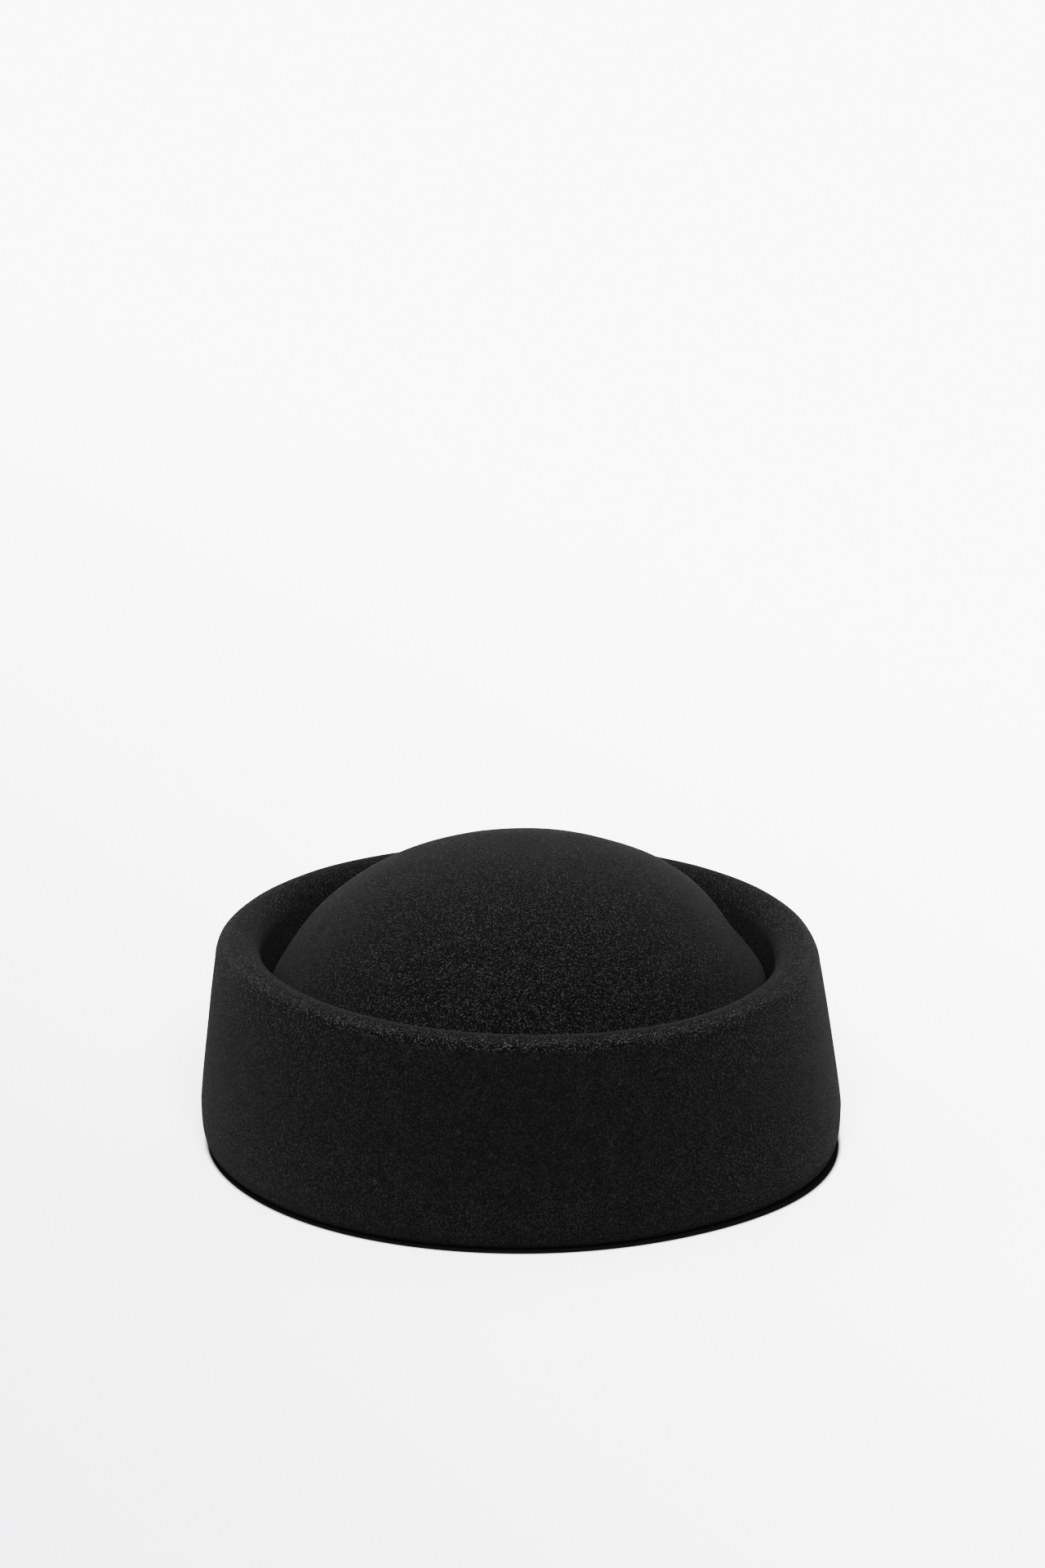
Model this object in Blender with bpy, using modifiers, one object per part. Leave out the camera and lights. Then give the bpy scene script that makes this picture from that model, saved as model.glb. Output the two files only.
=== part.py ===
# A black wool felt skullcap: one blocked sheet of felt, shaped as a domed tip that sits in a
# narrow groove, inside a raised wall with a soft rolled rim and a turned-in hem.
# Metres, +Z up. The hem stands on z = 0, under the middle of the hat's outline.
# The wearer's sides are at -X and +X, and the front and back at -Y and +Y.
from collections import namedtuple
from math import atan2, cos, degrees, exp, pi, sin

import bpy

# The head opening and the felt
HEAD_WIDTH = 0.1668
HEAD_LENGTH = 0.1898
FELT = 0.0022

# The foot and the hem folded up inside the wall: the inner radius of the foot's outer round,
# the flat that the hat stands on, the inner radius of the fold, and the hem's height
FOOT_INSIDE = 0.0019
FOOT_FLAT = 0.0012
FOLD_INSIDE = 0.0003
HEM_HEIGHT = 0.0140

# The outer wall, widest at the belly and narrower towards the rim
BELLY_HEIGHT = 0.0126
BELLY_BULGE = 0.0008
WALL_INSET = 0.0052
WALL_CURVE = 1.14
WALL_HEIGHT = 0.0598

# The rolled rim: its width outside and inside the crest, and its height
RIM_OUTSIDE = 0.0062
RIM_INSIDE = 0.0068
RIM_ROUND = 0.0064

# The groove between the rim and the dome, with a round floor
GROOVE_WIDTH = 0.0023
GROOVE_DEPTH = 0.0206

# The dome
HEIGHT = 0.0860
DOME_SIDE_POWER = 2.38
DOME_TOP_POWER = 1.53
DOME_SHIFT = -0.0013
DOME_LEAN = 0.0024

# The most that the soft felt is bent from its block's shape
BASE_PUSH = 0.0015
RIM_PUSH = 0.0010
RIM_WAVE = 0.0022
DENT_DEPTH = 0.0016

# How finely the sheet is divided, and how close points are one point
TURN_STEPS = 64
DOME_STEPS = 11
WALL_STEPS = 4
ROUND_STEPS = 4
CORNER_STEPS = 3
SAME_POINT = 0.0001

# The felt's look
FELT_COLOUR = (0.0075, 0.0075, 0.0080, 1.0)
FELT_ROUGHNESS = 0.95

# How far the base and the rim are pushed out and the rim is lifted, as shares of BASE_PUSH,
# RIM_PUSH and RIM_WAVE, every 30 degrees anticlockwise from +X
Bend = namedtuple("Bend", "base rim lift")
BENDS = (
    Bend(base=0.10, rim=-0.95, lift=-0.45),
    Bend(base=-0.10, rim=-0.35, lift=0.25),
    Bend(base=-0.05, rim=0.30, lift=0.55),
    Bend(base=0.15, rim=-0.45, lift=0.85),
    Bend(base=0.10, rim=-0.10, lift=0.90),
    Bend(base=0.25, rim=0.80, lift=0.65),
    Bend(base=-0.10, rim=0.45, lift=0.40),
    Bend(base=-0.35, rim=-0.30, lift=0.10),
    Bend(base=0.05, rim=-0.30, lift=-0.45),
    Bend(base=-0.05, rim=-0.20, lift=-0.85),
    Bend(base=-0.10, rim=0.85, lift=-1.00),
    Bend(base=1.00, rim=-0.30, lift=-0.80),
)

# Soft dents (negative) and bulges of the dome, as shares of DENT_DEPTH. Each has its bearing
# and its reach along the bearing in degrees, and its height and reach as shares of the dome
Dent = namedtuple("Dent", "depth bearing along height up")
DENTS = (
    Dent(depth=-1.00, bearing=20, along=24, height=0.43, up=0.13),
    Dent(depth=1.00, bearing=5, along=20, height=0.13, up=0.13),
    Dent(depth=0.75, bearing=34, along=22, height=0.74, up=0.11),
    Dent(depth=0.45, bearing=164, along=24, height=0.64, up=0.18),
    Dent(depth=0.35, bearing=176, along=20, height=0.12, up=0.12),
    Dent(depth=-0.20, bearing=250, along=26, height=0.45, up=0.22),
)

# A place along the sheet, from the dome's top to the hem's edge: its distance from the middle,
# its height, and how far it follows the base, the rim, the rim's lift and the dome
Station = namedtuple("Station", "radius height base rim lift dome")

FOOT_ROUND = FELT + FOOT_INSIDE
HEM_ROUND = FELT + FOLD_INSIDE
FOOT_SIDE = HEAD_WIDTH / 2 + HEM_ROUND + FOOT_FLAT + FOOT_ROUND
BELLY_SIDE = FOOT_SIDE + BELLY_BULGE
RIM_SIDE = BELLY_SIDE - WALL_INSET
RIM_CREST = RIM_SIDE - RIM_OUTSIDE
GROOVE_SIDE = RIM_CREST - RIM_INSIDE
DOME_SIDE = GROOVE_SIDE - GROOVE_WIDTH
SHOULDER_HEIGHT = WALL_HEIGHT - RIM_ROUND
GROOVE_ROUND = GROOVE_WIDTH / 2
GROOVE_TOP = WALL_HEIGHT - GROOVE_DEPTH + GROOVE_ROUND
OVAL_STRETCH = (HEAD_LENGTH - HEAD_WIDTH) / 2


def quarter(steps):
    """The sine and cosine of even steps through a quarter turn, without its start."""
    for step in range(1, steps + 1):
        angle = pi / 2 * step / steps
        yield sin(angle), cos(angle)


def dome_stations():
    """The dome, from its top down to the groove, as a rounded superellipse."""
    yield Station(0.0, HEIGHT, 0, 0, 0, 1)
    for outward, up in quarter(DOME_STEPS):
        radius = DOME_SIDE * outward ** (2 / DOME_SIDE_POWER)
        height = GROOVE_TOP + (HEIGHT - GROOVE_TOP) * up ** (2 / DOME_TOP_POWER)
        yield Station(radius, height, 0, 0, 0, 1)


def groove_stations():
    """The rounded floor of the groove, from the dome to the inside of the wall."""
    middle = DOME_SIDE + GROOVE_ROUND
    for step in range(1, 2 * CORNER_STEPS):
        angle = pi / 2 * step / CORNER_STEPS
        radius = middle - GROOVE_ROUND * cos(angle)
        height = GROOVE_TOP - GROOVE_ROUND * sin(angle)
        share = (1 - cos(angle)) / 2
        yield Station(radius, height, 0, share, 0, 1 - share)
    yield Station(GROOVE_SIDE, GROOVE_TOP, 0, 1, 0, 0)


def rim_stations():
    """The inside of the wall, and the roll over its crest to the outside."""
    yield Station(GROOVE_SIDE, SHOULDER_HEIGHT, 0, 1, 1, 0)
    for up, inward in quarter(ROUND_STEPS):
        radius = RIM_CREST - RIM_INSIDE * inward
        yield Station(radius, SHOULDER_HEIGHT + RIM_ROUND * up, 0, 1, 1, 0)
    for outward, up in quarter(ROUND_STEPS):
        radius = RIM_CREST + RIM_OUTSIDE * outward
        yield Station(radius, SHOULDER_HEIGHT + RIM_ROUND * up, 0, 1, 1, 0)


def wall_stations():
    """The outer wall, down from the rim to the belly and in again to the foot."""
    for step in range(1, WALL_STEPS + 1):
        share = 1 - step / WALL_STEPS
        radius = BELLY_SIDE - WALL_INSET * share ** WALL_CURVE
        height = BELLY_HEIGHT + (SHOULDER_HEIGHT - BELLY_HEIGHT) * share
        yield Station(radius, height, 1 - share, share, share, 0)
    for down, outward in quarter(CORNER_STEPS):
        radius = FOOT_SIDE + BELLY_BULGE * outward
        height = BELLY_HEIGHT - (BELLY_HEIGHT - FOOT_ROUND) * down
        yield Station(radius, height, 1, 0, 0, 0)


def hem_stations():
    """The hem: round the foot, across its flat underside and up inside the wall."""
    flat_outside = FOOT_SIDE - FOOT_ROUND
    flat_inside = flat_outside - FOOT_FLAT
    for down, outward in quarter(CORNER_STEPS):
        radius = flat_outside + FOOT_ROUND * outward
        yield Station(radius, FOOT_ROUND * (1 - down), 1, 0, 0, 0)
    yield Station(flat_inside, 0.0, 1, 0, 0, 0)
    for inward, down in quarter(CORNER_STEPS):
        radius = flat_inside - HEM_ROUND * inward
        yield Station(radius, HEM_ROUND * (1 - down), 1, 0, 0, 0)
    yield Station(HEAD_WIDTH / 2, HEM_HEIGHT, 1, 0, 0, 0)


def around(column, bearing):
    """One column of BENDS at any bearing, as a smooth curve through its rows."""
    place = degrees(bearing) % 360 / (360 / len(BENDS))
    row = int(place)
    part = place - row
    a, b, c, d = (getattr(BENDS[(row + step) % len(BENDS)], column) for step in (-1, 0, 1, 2))
    slope_b = (c - a) / 2
    slope_c = (d - b) / 2
    rise = (c - b) * part ** 2 * (3 - 2 * part)
    return b + rise + slope_b * part * (1 - part) ** 2 - slope_c * part ** 2 * (1 - part)


def dent(bearing, share):
    """How far the dome is pushed out at a bearing and a share of its height."""
    push = 0.0
    for spot in DENTS:
        turn = (degrees(bearing) - spot.bearing + 180) % 360 - 180
        reach = (turn / spot.along) ** 2 + ((share - spot.height) / spot.up) ** 2
        push += DENT_DEPTH * spot.depth * exp(-reach)
    return push


def bent(x, y, station):
    """Where the felt lies, for a point of the round turned sheet."""
    bearing = atan2(y, x)
    radius = station.radius
    radius += station.base * BASE_PUSH * around("base", bearing)
    radius += station.rim * RIM_PUSH * around("rim", bearing)
    height = station.height + station.lift * RIM_WAVE * around("lift", bearing)
    share = max(0.0, (station.height - GROOVE_TOP) / (HEIGHT - GROOVE_TOP))
    across = min(1.0, station.radius / DOME_SIDE)
    radius += station.dome * across * dent(bearing, share)
    shift = station.dome * (DOME_SHIFT + DOME_LEAN * share)
    return (
        radius * cos(bearing) + shift,
        (radius + OVAL_STRETCH * across) * sin(bearing),
        height,
    )


def turned_sheet(name, stations, collection):
    """The stations' outline, turned about Z, with each point's station kept beside it."""
    outline = bpy.data.meshes.new(name + "_outline")
    points = [(station.radius, 0.0, station.height) for station in stations]
    edges = [(place, place + 1) for place in range(len(points) - 1)]
    outline.from_pydata(points, edges, [])
    numbers = outline.attributes.new("station", "INT", "POINT")
    for place in range(len(points)):
        numbers.data[place].value = place
    body = bpy.data.objects.new(name, outline)
    collection.objects.link(body)
    screw = body.modifiers.new("turn", "SCREW")
    screw.steps = TURN_STEPS
    screw.render_steps = TURN_STEPS
    screw.use_merge_vertices = True
    screw.merge_threshold = SAME_POINT
    graph = bpy.context.evaluated_depsgraph_get()
    turned = body.evaluated_get(graph)
    sheet = bpy.data.meshes.new_from_object(
        turned, preserve_all_data_layers=True, depsgraph=graph
    )
    body.modifiers.remove(screw)
    body.data = sheet
    sheet.name = name
    bpy.data.meshes.remove(outline)
    return body


def bend_sheet(body, stations):
    """Every point goes from the round turned shape to the felt's, centred on the origin."""
    sheet = body.data
    numbers = sheet.attributes["station"]
    places = []
    for vertex in sheet.vertices:
        station = stations[numbers.data[vertex.index].value]
        places.append(bent(vertex.co.x, vertex.co.y, station))
    middle_x, middle_y = (
        (min(place[axis] for place in places) + max(place[axis] for place in places)) / 2
        for axis in (0, 1)
    )
    for vertex, (x, y, z) in zip(sheet.vertices, places):
        vertex.co = (x - middle_x, y - middle_y, z)
    sheet.attributes.remove(numbers)
    sheet.update()


def felt_material():
    """Dense black felt, without gloss."""
    material = bpy.data.materials.new("black_wool_felt")
    material.use_nodes = True
    shader = material.node_tree.nodes["Principled BSDF"]
    shader.inputs["Base Color"].default_value = FELT_COLOUR
    shader.inputs["Roughness"].default_value = FELT_ROUGHNESS
    shader.inputs["Metallic"].default_value = 0.0
    return material


def felt_body(collection):
    """The whole hat: the bent sheet, with the felt's thickness added on its inside."""
    stations = [
        *dome_stations(),
        *groove_stations(),
        *rim_stations(),
        *wall_stations(),
        *hem_stations(),
    ]
    body = turned_sheet("felt_body", stations, collection)
    bend_sheet(body, stations)
    body.data.materials.append(felt_material())
    body.data.shade_smooth()
    wall = body.modifiers.new("felt_thickness", "SOLIDIFY")
    wall.thickness = FELT
    wall.offset = -1.0
    wall.use_even_offset = True


for thing in list(bpy.data.objects):
    bpy.data.objects.remove(thing, do_unlink=True)
skullcap = bpy.data.collections.new("wool_skullcap")
bpy.context.scene.collection.children.link(skullcap)
felt_body(skullcap)
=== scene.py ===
from collections import namedtuple
from math import atan, atan2, cos, degrees, exp, pi, radians, sin

import bmesh
import bpy
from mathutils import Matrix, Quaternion, Vector, noise


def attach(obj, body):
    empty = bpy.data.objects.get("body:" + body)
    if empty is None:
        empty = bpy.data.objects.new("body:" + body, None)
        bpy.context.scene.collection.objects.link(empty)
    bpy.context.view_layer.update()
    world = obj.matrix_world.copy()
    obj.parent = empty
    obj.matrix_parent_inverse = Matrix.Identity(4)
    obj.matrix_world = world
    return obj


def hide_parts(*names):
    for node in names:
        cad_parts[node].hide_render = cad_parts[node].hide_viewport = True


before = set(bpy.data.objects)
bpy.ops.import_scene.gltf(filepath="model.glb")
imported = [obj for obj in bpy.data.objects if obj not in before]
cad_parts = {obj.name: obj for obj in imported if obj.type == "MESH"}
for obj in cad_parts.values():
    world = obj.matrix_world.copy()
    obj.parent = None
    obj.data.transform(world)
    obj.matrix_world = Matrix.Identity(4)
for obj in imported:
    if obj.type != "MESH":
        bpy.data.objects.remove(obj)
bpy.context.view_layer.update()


# The felt body: one cone of wool felt, wetted, pulled down over a wooden block and steamed until it
# kept the form. The dome, the groove round it, the rolled rim, the wall and the turned-in hem are
# all this one sheet. Its sizes are those of the solid that it stands for, cut much finer.
HEAD_WIDTH = 0.1668
HEAD_LENGTH = 0.1898
FELT = 0.0022

FOOT_INSIDE = 0.0019
FOOT_FLAT = 0.0012
FOLD_INSIDE = 0.0003
HEM_HEIGHT = 0.0140

BELLY_HEIGHT = 0.0126
BELLY_BULGE = 0.0008
WALL_INSET = 0.0052
WALL_CURVE = 1.14
WALL_HEIGHT = 0.0598

RIM_OUTSIDE = 0.0062
RIM_INSIDE = 0.0068
RIM_ROUND = 0.0064

GROOVE_WIDTH = 0.0023
GROOVE_DEPTH = 0.0206

HEIGHT = 0.0860
DOME_SIDE_POWER = 2.38
DOME_TOP_POWER = 1.53
DOME_SHIFT = -0.0013
DOME_LEAN = 0.0024

BASE_PUSH = 0.0015
RIM_PUSH = 0.0010
RIM_WAVE = 0.0022
DENT_DEPTH = 0.0016
UNEVEN = 0.00025
UNEVEN_WIDTH = 0.016

TURN_STEPS = 288
DOME_STEPS = 44
WALL_STEPS = 28
ROUND_STEPS = 12
CORNER_STEPS = 8
SAME_POINT = 0.00001

# How far the base and the rim are pushed out and the rim is lifted, every 30 degrees from +X
Bend = namedtuple("Bend", "base rim lift")
BENDS = (
    Bend(base=0.10, rim=-0.95, lift=-0.45),
    Bend(base=-0.10, rim=-0.35, lift=0.25),
    Bend(base=-0.05, rim=0.30, lift=0.55),
    Bend(base=0.15, rim=-0.45, lift=0.85),
    Bend(base=0.10, rim=-0.10, lift=0.90),
    Bend(base=0.25, rim=0.80, lift=0.65),
    Bend(base=-0.10, rim=0.45, lift=0.40),
    Bend(base=-0.35, rim=-0.30, lift=0.10),
    Bend(base=0.05, rim=-0.30, lift=-0.45),
    Bend(base=-0.05, rim=-0.20, lift=-0.85),
    Bend(base=-0.10, rim=0.85, lift=-1.00),
    Bend(base=1.00, rim=-0.30, lift=-0.80),
)

# Soft dents (negative) and bulges of the dome, as shares of DENT_DEPTH and of its height
Dent = namedtuple("Dent", "depth bearing along height up")
DENTS = (
    Dent(depth=-1.00, bearing=20, along=24, height=0.43, up=0.13),
    Dent(depth=1.00, bearing=5, along=20, height=0.13, up=0.13),
    Dent(depth=0.75, bearing=34, along=22, height=0.74, up=0.11),
    Dent(depth=0.45, bearing=164, along=24, height=0.64, up=0.18),
    Dent(depth=0.35, bearing=176, along=20, height=0.12, up=0.12),
    Dent(depth=-0.20, bearing=250, along=26, height=0.45, up=0.22),
)

# A place along the sheet: its distance from the middle, its height, and how far it follows the
# base, the rim, the rim's lift and the dome
Station = namedtuple("Station", "radius height base rim lift dome")

FOOT_ROUND = FELT + FOOT_INSIDE
HEM_ROUND = FELT + FOLD_INSIDE
FOOT_SIDE = HEAD_WIDTH / 2 + HEM_ROUND + FOOT_FLAT + FOOT_ROUND
BELLY_SIDE = FOOT_SIDE + BELLY_BULGE
RIM_SIDE = BELLY_SIDE - WALL_INSET
RIM_CREST = RIM_SIDE - RIM_OUTSIDE
GROOVE_SIDE = RIM_CREST - RIM_INSIDE
DOME_SIDE = GROOVE_SIDE - GROOVE_WIDTH
SHOULDER_HEIGHT = WALL_HEIGHT - RIM_ROUND
GROOVE_ROUND = GROOVE_WIDTH / 2
GROOVE_TOP = WALL_HEIGHT - GROOVE_DEPTH + GROOVE_ROUND
OVAL_STRETCH = (HEAD_LENGTH - HEAD_WIDTH) / 2


def quarter(steps):
    """The sine and cosine of even steps through a quarter turn, without its start."""
    for step in range(1, steps + 1):
        angle = pi / 2 * step / steps
        yield sin(angle), cos(angle)


def dome_stations():
    """The dome, from its top down to the groove, as a rounded superellipse."""
    yield Station(0.0, HEIGHT, 0, 0, 0, 1)
    for outward, up in quarter(DOME_STEPS):
        radius = DOME_SIDE * outward ** (2 / DOME_SIDE_POWER)
        height = GROOVE_TOP + (HEIGHT - GROOVE_TOP) * up ** (2 / DOME_TOP_POWER)
        yield Station(radius, height, 0, 0, 0, 1)


def groove_stations():
    """The rounded floor of the groove and the inside of the wall above it."""
    middle = DOME_SIDE + GROOVE_ROUND
    for step in range(1, 2 * CORNER_STEPS):
        angle = pi / 2 * step / CORNER_STEPS
        radius = middle - GROOVE_ROUND * cos(angle)
        height = GROOVE_TOP - GROOVE_ROUND * sin(angle)
        share = (1 - cos(angle)) / 2
        yield Station(radius, height, 0, share, 0, 1 - share)
    for step in range(CORNER_STEPS + 1):
        share = step / CORNER_STEPS
        height = GROOVE_TOP + (SHOULDER_HEIGHT - GROOVE_TOP) * share
        yield Station(GROOVE_SIDE, height, 0, 1, share, 0)


def rim_stations():
    """The roll of the rim, over its crest to the outside."""
    for up, inward in quarter(ROUND_STEPS):
        radius = RIM_CREST - RIM_INSIDE * inward
        yield Station(radius, SHOULDER_HEIGHT + RIM_ROUND * up, 0, 1, 1, 0)
    for outward, up in quarter(ROUND_STEPS):
        radius = RIM_CREST + RIM_OUTSIDE * outward
        yield Station(radius, SHOULDER_HEIGHT + RIM_ROUND * up, 0, 1, 1, 0)


def wall_stations():
    """The outer wall, down from the rim to the belly and in again to the foot."""
    for step in range(1, WALL_STEPS + 1):
        share = 1 - step / WALL_STEPS
        radius = BELLY_SIDE - WALL_INSET * share ** WALL_CURVE
        height = BELLY_HEIGHT + (SHOULDER_HEIGHT - BELLY_HEIGHT) * share
        yield Station(radius, height, 1 - share, share, share, 0)
    for down, outward in quarter(CORNER_STEPS):
        radius = FOOT_SIDE + BELLY_BULGE * outward
        height = BELLY_HEIGHT - (BELLY_HEIGHT - FOOT_ROUND) * down
        yield Station(radius, height, 1, 0, 0, 0)


def hem_stations():
    """The hem: round the foot, across its flat underside and up inside the wall."""
    flat_outside = FOOT_SIDE - FOOT_ROUND
    flat_inside = flat_outside - FOOT_FLAT
    for down, outward in quarter(CORNER_STEPS):
        radius = flat_outside + FOOT_ROUND * outward
        yield Station(radius, FOOT_ROUND * (1 - down), 1, 0, 0, 0)
    yield Station(flat_inside, 0.0, 1, 0, 0, 0)
    for inward, down in quarter(CORNER_STEPS):
        radius = flat_inside - HEM_ROUND * inward
        yield Station(radius, HEM_ROUND * (1 - down), 1, 0, 0, 0)
    for step in range(1, CORNER_STEPS + 1):
        height = HEM_ROUND + (HEM_HEIGHT - HEM_ROUND) * step / CORNER_STEPS
        yield Station(HEAD_WIDTH / 2, height, 1, 0, 0, 0)


def around(column, bearing):
    """One column of BENDS at any bearing, as a smooth curve through its rows."""
    place = degrees(bearing) % 360 / (360 / len(BENDS))
    row = int(place)
    part = place - row
    a, b, c, d = (getattr(BENDS[(row + step) % len(BENDS)], column) for step in (-1, 0, 1, 2))
    slope_b = (c - a) / 2
    slope_c = (d - b) / 2
    rise = (c - b) * part ** 2 * (3 - 2 * part)
    return b + rise + slope_b * part * (1 - part) ** 2 - slope_c * part ** 2 * (1 - part)


def dent(bearing, share):
    """How far the dome is pushed out at a bearing and a share of its height."""
    push = 0.0
    for spot in DENTS:
        turn = (degrees(bearing) - spot.bearing + 180) % 360 - 180
        reach = (turn / spot.along) ** 2 + ((share - spot.height) / spot.up) ** 2
        push += DENT_DEPTH * spot.depth * exp(-reach)
    return push


def dome_share(station):
    """How far up the dome a station lies, as a share of the dome's height."""
    return max(0.0, (station.height - GROOVE_TOP) / (HEIGHT - GROOVE_TOP))


def bent(x, y, station):
    """Where the felt lies, for a point of the round turned sheet."""
    bearing = atan2(y, x)
    radius = station.radius
    radius += station.base * BASE_PUSH * around("base", bearing)
    radius += station.rim * RIM_PUSH * around("rim", bearing)
    height = station.height + station.lift * RIM_WAVE * around("lift", bearing)
    share = dome_share(station)
    across = min(1.0, station.radius / DOME_SIDE)
    radius += station.dome * across * dent(bearing, share)
    shift = station.dome * (DOME_SHIFT + DOME_LEAN * share)
    place = Vector((
        radius * cos(bearing) + shift,
        (radius + OVAL_STRETCH * across) * sin(bearing),
        height,
    ))
    swell = max(station.rim, station.dome) * UNEVEN * noise.noise(place / UNEVEN_WIDTH)
    return place + place.normalized() * swell


def turned_sheet(stations, label, amount_at):
    """The stations' outline, spun about Z and bent to the felt's shape, with an amount at each point."""
    sheet = bmesh.new()
    number = sheet.verts.layers.int.new("station")
    amount = sheet.verts.layers.float.new(label)
    outline = []
    for place, station in enumerate(stations):
        point = sheet.verts.new((station.radius, 0.0, station.height))
        point[number] = place
        outline.append(point)
    edges = [sheet.edges.new(pair) for pair in zip(outline, outline[1:])]
    bmesh.ops.spin(
        sheet, geom=outline + edges, cent=(0, 0, 0), axis=(0, 0, 1), dvec=(0, 0, 0),
        angle=2 * pi, steps=TURN_STEPS, use_merge=True, use_normal_flip=False, use_duplicate=False,
    )
    bmesh.ops.remove_doubles(sheet, verts=sheet.verts[:], dist=SAME_POINT)
    for point in sheet.verts:
        station = stations[point[number]]
        point[amount] = amount_at(station, atan2(point.co.y, point.co.x))
        point.co = bent(point.co.x, point.co.y, station)
    bmesh.ops.recalc_face_normals(sheet, faces=sheet.faces[:])
    sheet.verts.layers.int.remove(number)
    return sheet


def middle_of(sheet):
    """The middle of a sheet's outline, seen from above."""
    return Vector([
        (min(point.co[axis] for point in sheet.verts) + max(point.co[axis] for point in sheet.verts)) / 2
        for axis in (0, 1)
    ] + [0.0])


def as_piece(name, mesh_work, material):
    """A finished bmesh as a smooth object in the scene, with its material."""
    mesh = bpy.data.meshes.new(name)
    mesh_work.to_mesh(mesh)
    mesh_work.free()
    mesh.materials.append(material)
    mesh.shade_smooth()
    piece = bpy.data.objects.new(name, mesh)
    bpy.context.scene.collection.objects.link(piece)
    return piece


def linear(hex_colour):
    """An sRGB hex colour as linear red, green, blue and 1."""
    channels = [int(hex_colour[at:at + 2], 16) / 255 for at in (1, 3, 5)]
    return tuple(c / 12.92 if c <= 0.04045 else ((c + 0.055) / 1.055) ** 2.4 for c in channels) + (1.0,)


def add_node(tree, kind, settings=(), links=()):
    """A node with its settings, by property or socket name, and with links to its sockets."""
    node = tree.nodes.new(kind)
    for name, value in dict(settings).items():
        if isinstance(name, str) and hasattr(node, name):
            setattr(node, name, value)
        else:
            node.inputs[name].default_value = value
    for name, source in dict(links).items():
        tree.links.new(source, node.inputs[name])
    return node


FELT_BLACK = "#040404"
FELT_GREY = "#0e0e0e"
FIBRE_GREY = "#131313"
NAP_BLACK = "#010101"
# The nap's grey is also where the paling past 1 leads: painted sheen on the sides, a painted highlight on
# the crest.
NAP_AND_PAINTED_LIGHT_GREY = "#252525"
GRAIN_WIDTH = 0.00048
CLOUD_WIDTH = 0.0045
FIBRE_CURL = 0.0016
FIBRE_LENGTH = 0.0022
NAP_HEIGHT = 0.0003

# Where the grain turns from black to grey, on plain felt and on rubbed-up nap, and how far the
# clouds shift it
CLOUD_SHARE = 0.2
MOTTLING_BLACK = 0.52
MOTTLING_GREY = 0.78
TIPS_BLACK = 0.50
TIPS_GREY = 0.72

# How wide a fibre is as a share of the pattern's range, and where one ends and is at its clearest
FIBRE_LINE = 0.030
FIBRE_END = 0.48
FIBRE_CLEAR = 0.62

# How far the nap is raised at each place: 1 is all of it, and past 1 it is paler as well, which on the
# rim's crest is rubbed nap with a painted highlight and on the sides is painted sheen. The crest band's
# middle and reach are shares of the rim's outer half.
CREST_NAP_AND_PAINTED_HIGHLIGHT = 1.5
CREST_BAND_MIDDLE = 0.48
CREST_BAND_REACH = 0.44
WEAR_AND_PAINTED_LIGHT_PALING = 0.36
SIDE_NAP_AND_PAINTED_SHEEN = 1.2
NAP_DOME = 0.60
NAP_TOP = 0.20
FOOT_PAINTED_BOUNCE_LIGHT = 0.3


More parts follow.
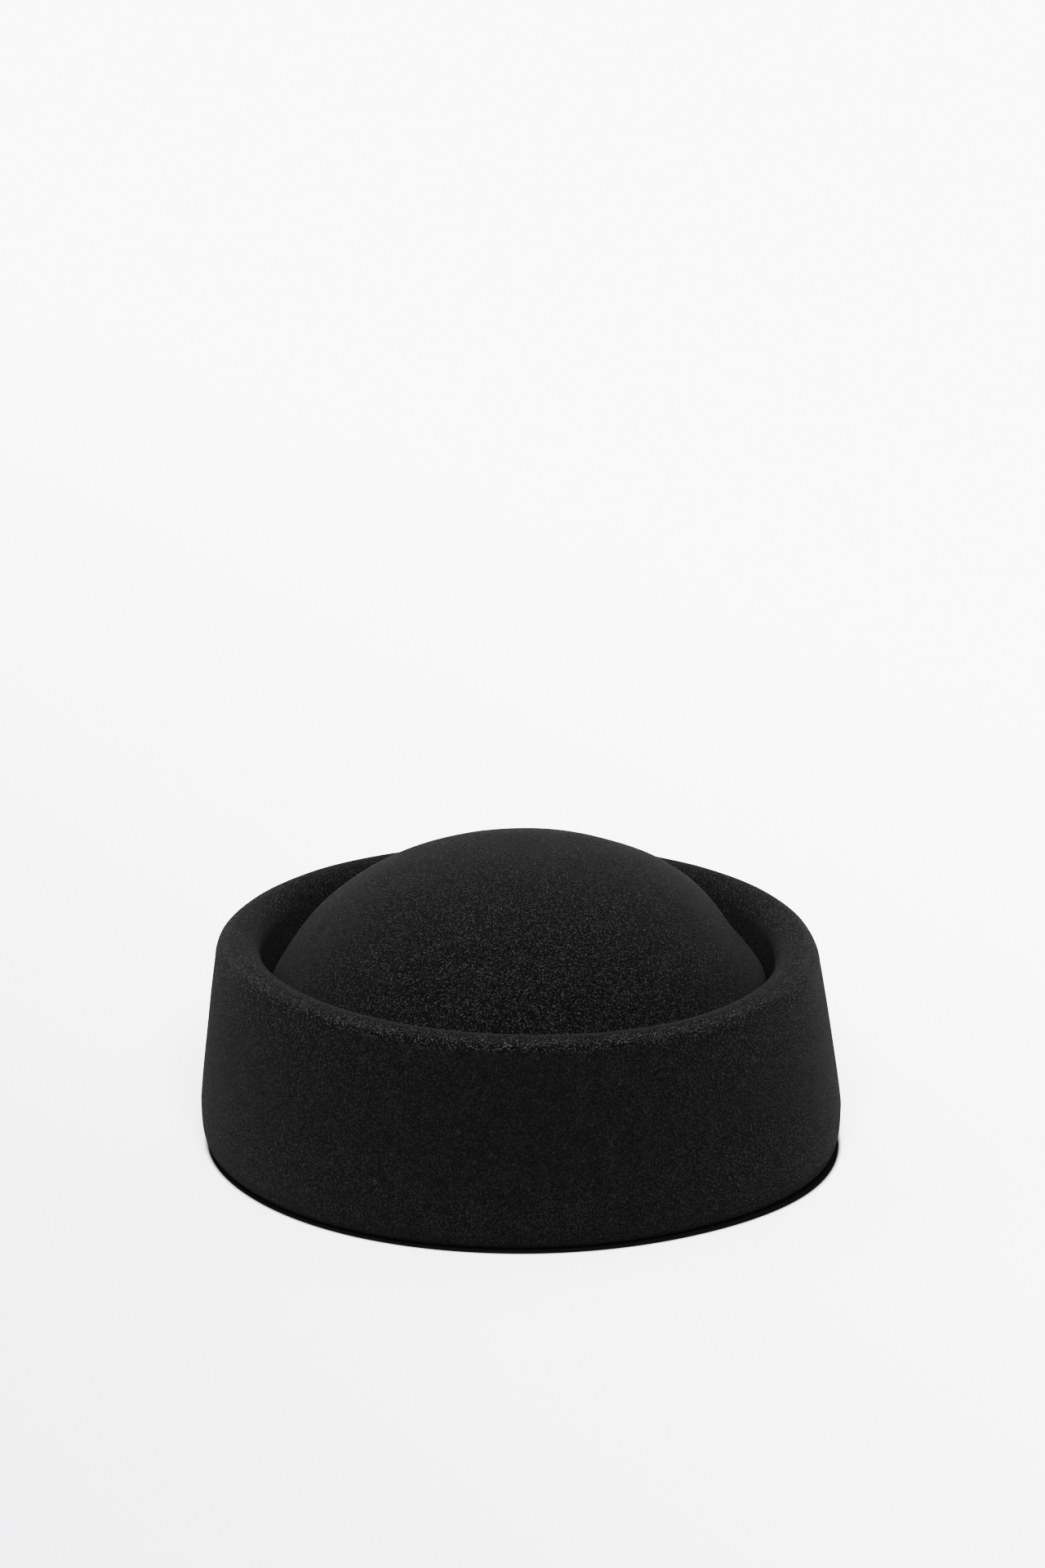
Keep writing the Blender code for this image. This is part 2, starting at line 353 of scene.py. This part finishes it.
def black_wool_felt():
    """Wool dyed black and milled to dense felt.

    It has no gloss. The eye sees a fine mottling of matted wool, single paler fibres that curl over it,
    a soft bloom at grazing angles, and a speckled raised nap on the dome and the sides, paled further
    on the left and right sides by painted sheen. Near the foot a paler speckled tone is painted light
    bounced up from the floor, and on the rim's crest the nap is rubbed greyer and carries a painted
    highlight.
    Wool is about 0.02 mm thick, too fine to show, so grain and fibres are drawn some twenty times coarser.
    """
    material = bpy.data.materials.new("black_wool_felt")
    material.use_nodes = True
    tree = material.node_tree
    shader = tree.nodes["Principled BSDF"]
    place = add_node(tree, "ShaderNodeTexCoord").outputs["Object"]
    grain = add_node(tree, "ShaderNodeTexNoise", {"Scale": 1 / GRAIN_WIDTH, "Detail": 2.0, "Roughness": 0.6},
                     {"Vector": place}).outputs["Fac"]
    clouds = add_node(tree, "ShaderNodeTexNoise", {"Scale": 1 / CLOUD_WIDTH, "Detail": 2.0},
                      {"Vector": place}).outputs["Fac"]
    mottling = add_node(tree, "ShaderNodeMath", {"operation": "MULTIPLY_ADD", 1: CLOUD_SHARE},
                        {0: clouds, 2: grain}).outputs["Value"]
    mottled = add_node(tree, "ShaderNodeValToRGB", links={"Fac": mottling})
    mottled.color_ramp.elements[0].position = MOTTLING_BLACK
    mottled.color_ramp.elements[0].color = linear(FELT_BLACK)
    mottled.color_ramp.elements[1].position = MOTTLING_GREY
    mottled.color_ramp.elements[1].color = linear(FELT_GREY)

    nap_and_painted_light = add_node(tree, "ShaderNodeAttribute", {"attribute_name": "nap_and_painted_light"}).outputs["Fac"]
    # Past 1 the nap is paled as well: rubbed nap with a painted highlight on the crest, painted sheen on the
    # sides.
    paling_wear_and_painted_light = add_node(tree, "ShaderNodeMapRange", {"From Min": 1.0, "From Max": 2.0},
                    {"Value": nap_and_painted_light}).outputs["Result"]
    patchy_paling = add_node(tree, "ShaderNodeMath", {"operation": "MULTIPLY"},
                      {0: paling_wear_and_painted_light, 1: clouds}).outputs["Value"]
    tips_and_painted_paling = add_node(tree, "ShaderNodeMapRange", {"From Min": TIPS_BLACK, "From Max": TIPS_GREY},
                    {"Value": grain}).outputs["Result"]
    tips_and_painted_paling = add_node(tree, "ShaderNodeMath", {"operation": "MULTIPLY_ADD", 1: WEAR_AND_PAINTED_LIGHT_PALING},
                    {0: patchy_paling, 2: tips_and_painted_paling}).outputs["Value"]
    nap_and_painted_light_colour = add_node(tree, "ShaderNodeMix",
                       {"data_type": "RGBA", 6: linear(NAP_BLACK), 7: linear(NAP_AND_PAINTED_LIGHT_GREY)},
                       {0: tips_and_painted_paling}).outputs[2]
    felt_colour_and_painted_light = add_node(tree, "ShaderNodeMix", {"data_type": "RGBA"},
                    {0: nap_and_painted_light, 6: mottled.outputs["Color"], 7: nap_and_painted_light_colour}).outputs[2]

    curls = add_node(tree, "ShaderNodeTexNoise", {"Scale": 1 / FIBRE_CURL, "Detail": 1.0, "Distortion": 0.6},
                     {"Vector": place}).outputs["Fac"]
    away = add_node(tree, "ShaderNodeMath", {"operation": "SUBTRACT", 1: 0.5}, {0: curls}).outputs["Value"]
    away = add_node(tree, "ShaderNodeMath", {"operation": "ABSOLUTE"}, {0: away}).outputs["Value"]
    line = add_node(tree, "ShaderNodeMapRange", {"From Min": FIBRE_LINE, "From Max": 0.0},
                    {"Value": away}).outputs["Result"]
    ends = add_node(tree, "ShaderNodeTexNoise", {"Scale": 1 / FIBRE_LENGTH, "Detail": 0.0},
                    {"Vector": place}).outputs["Fac"]
    kept = add_node(tree, "ShaderNodeMapRange", {"From Min": FIBRE_END, "From Max": FIBRE_CLEAR},
                    {"Value": ends}).outputs["Result"]
    fibre = add_node(tree, "ShaderNodeMath", {"operation": "MULTIPLY"}, {0: line, 1: kept}).outputs["Value"]
    colour = add_node(tree, "ShaderNodeMix", {"data_type": "RGBA", 7: linear(FIBRE_GREY)},
                      {0: fibre, 6: felt_colour_and_painted_light}).outputs[2]
    height = add_node(tree, "ShaderNodeMath", {"operation": "MAXIMUM"},
                      {0: grain, 1: fibre}).outputs["Value"]

    tree.links.new(colour, shader.inputs["Base Color"])
    bump = add_node(tree, "ShaderNodeBump", {"Strength": 1.0, "Distance": NAP_HEIGHT}, {"Height": height})
    tree.links.new(bump.outputs["Normal"], shader.inputs["Normal"])
    shader.inputs["Roughness"].default_value = 1.0
    shader.inputs["Specular IOR Level"].default_value = 0.05
    shader.inputs["Sheen Weight"].default_value = 0.010
    shader.inputs["Sheen Roughness"].default_value = 0.6
    return material


def nap_and_painted_light_amount(station, bearing):
    """How far the nap is raised and paled: on the dome; on the left and right sides, with painted sheen past
    1; most on the rim's crest, as rubbed nap with a painted highlight; and low on the wall, as painted light
    bounced from the floor.
    """
    away = abs((station.radius - RIM_CREST) / RIM_OUTSIDE - CREST_BAND_MIDDLE)
    # The rim's crest: rubbed nap, paled past 1 by a painted highlight where the rim's top catches the light.
    crest = station.rim * CREST_NAP_AND_PAINTED_HIGHLIGHT * max(0.0, 1 - (away / CREST_BAND_REACH) ** 2)
    dome = station.dome * (NAP_DOME + NAP_TOP * dome_share(station))
    # The left and right sides: grain of the nap, paled past 1 by painted sheen on the flanks.
    sides = max(station.base, station.rim) * SIDE_NAP_AND_PAINTED_SHEEN * cos(bearing) ** 2
    # Low on the wall: painted light bounced up from the floor, as a paler nap.
    foot = station.base * FOOT_PAINTED_BOUNCE_LIGHT * max(0.0, 1 - station.height / (2 * BELLY_HEIGHT))
    return max(crest, dome, sides, foot)


stations = [
    *dome_stations(),
    *groove_stations(),
    *rim_stations(),
    *wall_stations(),
    *hem_stations(),
]
felt_work = turned_sheet(stations, "nap_and_painted_light", nap_and_painted_light_amount)
felt_middle = middle_of(felt_work)
bmesh.ops.translate(felt_work, verts=felt_work.verts[:], vec=-felt_middle)
felt = as_piece("felt_shell", felt_work, black_wool_felt())
wall = felt.modifiers.new("felt_thickness", "SOLIDIFY")
wall.thickness = FELT
wall.offset = -1.0
wall.use_even_offset = True
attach(felt, "root")
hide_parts("felt_body")


# The floor: a broad sheet of pale backdrop paper that runs on past the view. A painted light makes it
# a little paler towards its far right. Close under the foot, where the hat stands on it, hardly any
# light gets in, and a painted shadow darkens the paper there.
FLOOR_RADIUS = 8.0
FLOOR_BELOW = 0.0001
PAPER_IN_PAINTED_SHADE = "#96969b"
PAPER_IN_PAINTED_LIGHT = "#dadadb"
PAINTED_LIGHT_FROM = -0.398
PAINTED_LIGHT_REACH = 0.853
PAINTED_LIGHT_BEARING = radians(25.5)

# The painted shadow under the hat: how far inside the belly it ends, over what width it fades, and
# how far its middle is moved from the hat's
PAINTED_SHADOW_BLACK = "#0b0b0b"
UNDER_DARK = 0.0013
UNDER_FADE = 0.0014
UNDER_SHIFT = Vector((0.0006, -0.0008, 0.0))
UNDER_SIDE = BELLY_SIDE - UNDER_DARK
FLOOR_RINGS = (0.0, UNDER_SIDE, UNDER_SIDE + UNDER_FADE, 0.2, 1.0, FLOOR_RADIUS)


def backdrop_paper():
    """Heavy matt paper off a roll: a pale surface without a grain that shows from here, paled towards the
    far right by a painted light and darkened under the hat by a painted shadow.
    """
    material = bpy.data.materials.new("backdrop_paper")
    material.use_nodes = True
    tree = material.node_tree
    shader = tree.nodes["Principled BSDF"]
    place = add_node(tree, "ShaderNodeTexCoord").outputs["Object"]
    start = (PAINTED_LIGHT_FROM * cos(PAINTED_LIGHT_BEARING), PAINTED_LIGHT_FROM * sin(PAINTED_LIGHT_BEARING), 0.0)
    along = add_node(tree, "ShaderNodeMapping", {
        "vector_type": "TEXTURE", "Location": start, "Rotation": (0.0, 0.0, PAINTED_LIGHT_BEARING),
        "Scale": (PAINTED_LIGHT_REACH, PAINTED_LIGHT_REACH, PAINTED_LIGHT_REACH),
    }, {"Vector": place}).outputs["Vector"]
    # Painted light: the paper's colour is mixed paler towards the far right.
    paler = add_node(tree, "ShaderNodeTexGradient", {"gradient_type": "EASING"},
                     {"Vector": along}).outputs["Fac"]
    paper = add_node(tree, "ShaderNodeMix",
                     {"data_type": "RGBA", 6: linear(PAPER_IN_PAINTED_SHADE), 7: linear(PAPER_IN_PAINTED_LIGHT)},
                     {0: paler}).outputs[2]
    # The light attribute is 0 under the hat, where a near-black painted shadow is mixed into the paper.
    light = add_node(tree, "ShaderNodeAttribute", {"attribute_name": "light"}).outputs["Fac"]
    shaded = add_node(tree, "ShaderNodeMix", {"data_type": "RGBA", 6: linear(PAINTED_SHADOW_BLACK)},
                      {0: light, 7: paper}).outputs[2]
    tree.links.new(shaded, shader.inputs["Base Color"])
    shader.inputs["Roughness"].default_value = 0.9
    shader.inputs["Specular IOR Level"].default_value = 0.05
    return material


def clear_of_painted_shadow(ring, bearing):
    """The paper's full colour, except under the hat where the shadow is painted."""
    return float(ring.radius > UNDER_SIDE)


rings = [Station(radius, -FLOOR_BELOW, 1, 0, 0, 0) for radius in FLOOR_RINGS]
floor_work = turned_sheet(rings, "light", clear_of_painted_shadow)
bmesh.ops.translate(floor_work, verts=floor_work.verts[:], vec=UNDER_SHIFT - felt_middle)
floor = as_piece("floor", floor_work, backdrop_paper())


# The light: one broad soft light from low in front, over the camera, weak ones from the left and
# from behind, and a dim white studio all round.
SoftLight = namedtuple("SoftLight", "name strength width elevation bearing")
SOFT_LIGHTS = (
    SoftLight(name="front_light", strength=17.8, width=35, elevation=35, bearing=-90),
    SoftLight(name="left_light", strength=1.6, width=40, elevation=30, bearing=180),
    SoftLight(name="back_light", strength=1.6, width=40, elevation=55, bearing=90),
)
WORLD_STRENGTH = 0.7
for light in SOFT_LIGHTS:
    lamp_data = bpy.data.lights.new(light.name, "SUN")
    lamp_data.energy = light.strength
    lamp_data.angle = radians(light.width)
    lamp = bpy.data.objects.new(light.name, lamp_data)
    bpy.context.scene.collection.objects.link(lamp)
    lamp.rotation_euler = (0.0, radians(90 - light.elevation), radians(light.bearing))
world = bpy.data.worlds.new("white_studio")
world.use_nodes = True
world.node_tree.nodes["Background"].inputs["Color"].default_value = (1.0, 1.0, 1.0, 1.0)
world.node_tree.nodes["Background"].inputs["Strength"].default_value = WORLD_STRENGTH
bpy.context.scene.world = world


# The camera: level with the photograph's, a long lens that looks down on the hat from its front.
# It is turned up until the middle of the hat's foot falls on its pixel of the frame.
CAMERA_DISTANCE = 1.5
CAMERA_ELEVATION = radians(18.26)
CAMERA_LENS = 118.9
SENSOR_WIDTH = 36.0
FRAME_WIDTH = 1280
FRAME_HEIGHT = 1920
HAT_COLUMN = 637.8
HAT_ROW = 1387.6
camera_data = bpy.data.cameras.new("camera")
camera_data.lens = CAMERA_LENS
camera_data.sensor_width = SENSOR_WIDTH
camera = bpy.data.objects.new("camera", camera_data)
bpy.context.scene.collection.objects.link(camera)
camera.location = (0.0, -CAMERA_DISTANCE * cos(CAMERA_ELEVATION), CAMERA_DISTANCE * sin(CAMERA_ELEVATION))
focal = CAMERA_LENS / SENSOR_WIDTH * FRAME_HEIGHT
turn_up = Quaternion((1, 0, 0), atan((HAT_ROW - FRAME_HEIGHT / 2) / focal))
turn_left = Quaternion((0, 1, 0), atan((HAT_COLUMN - FRAME_WIDTH / 2) / focal))
camera.rotation_mode = "QUATERNION"
camera.rotation_quaternion = (-camera.location).to_track_quat("-Z", "Y") @ turn_up @ turn_left
bpy.context.scene.camera = camera
bpy.context.scene.view_settings.view_transform = "Filmic"
bpy.context.scene.view_settings.look = "Very High Contrast"
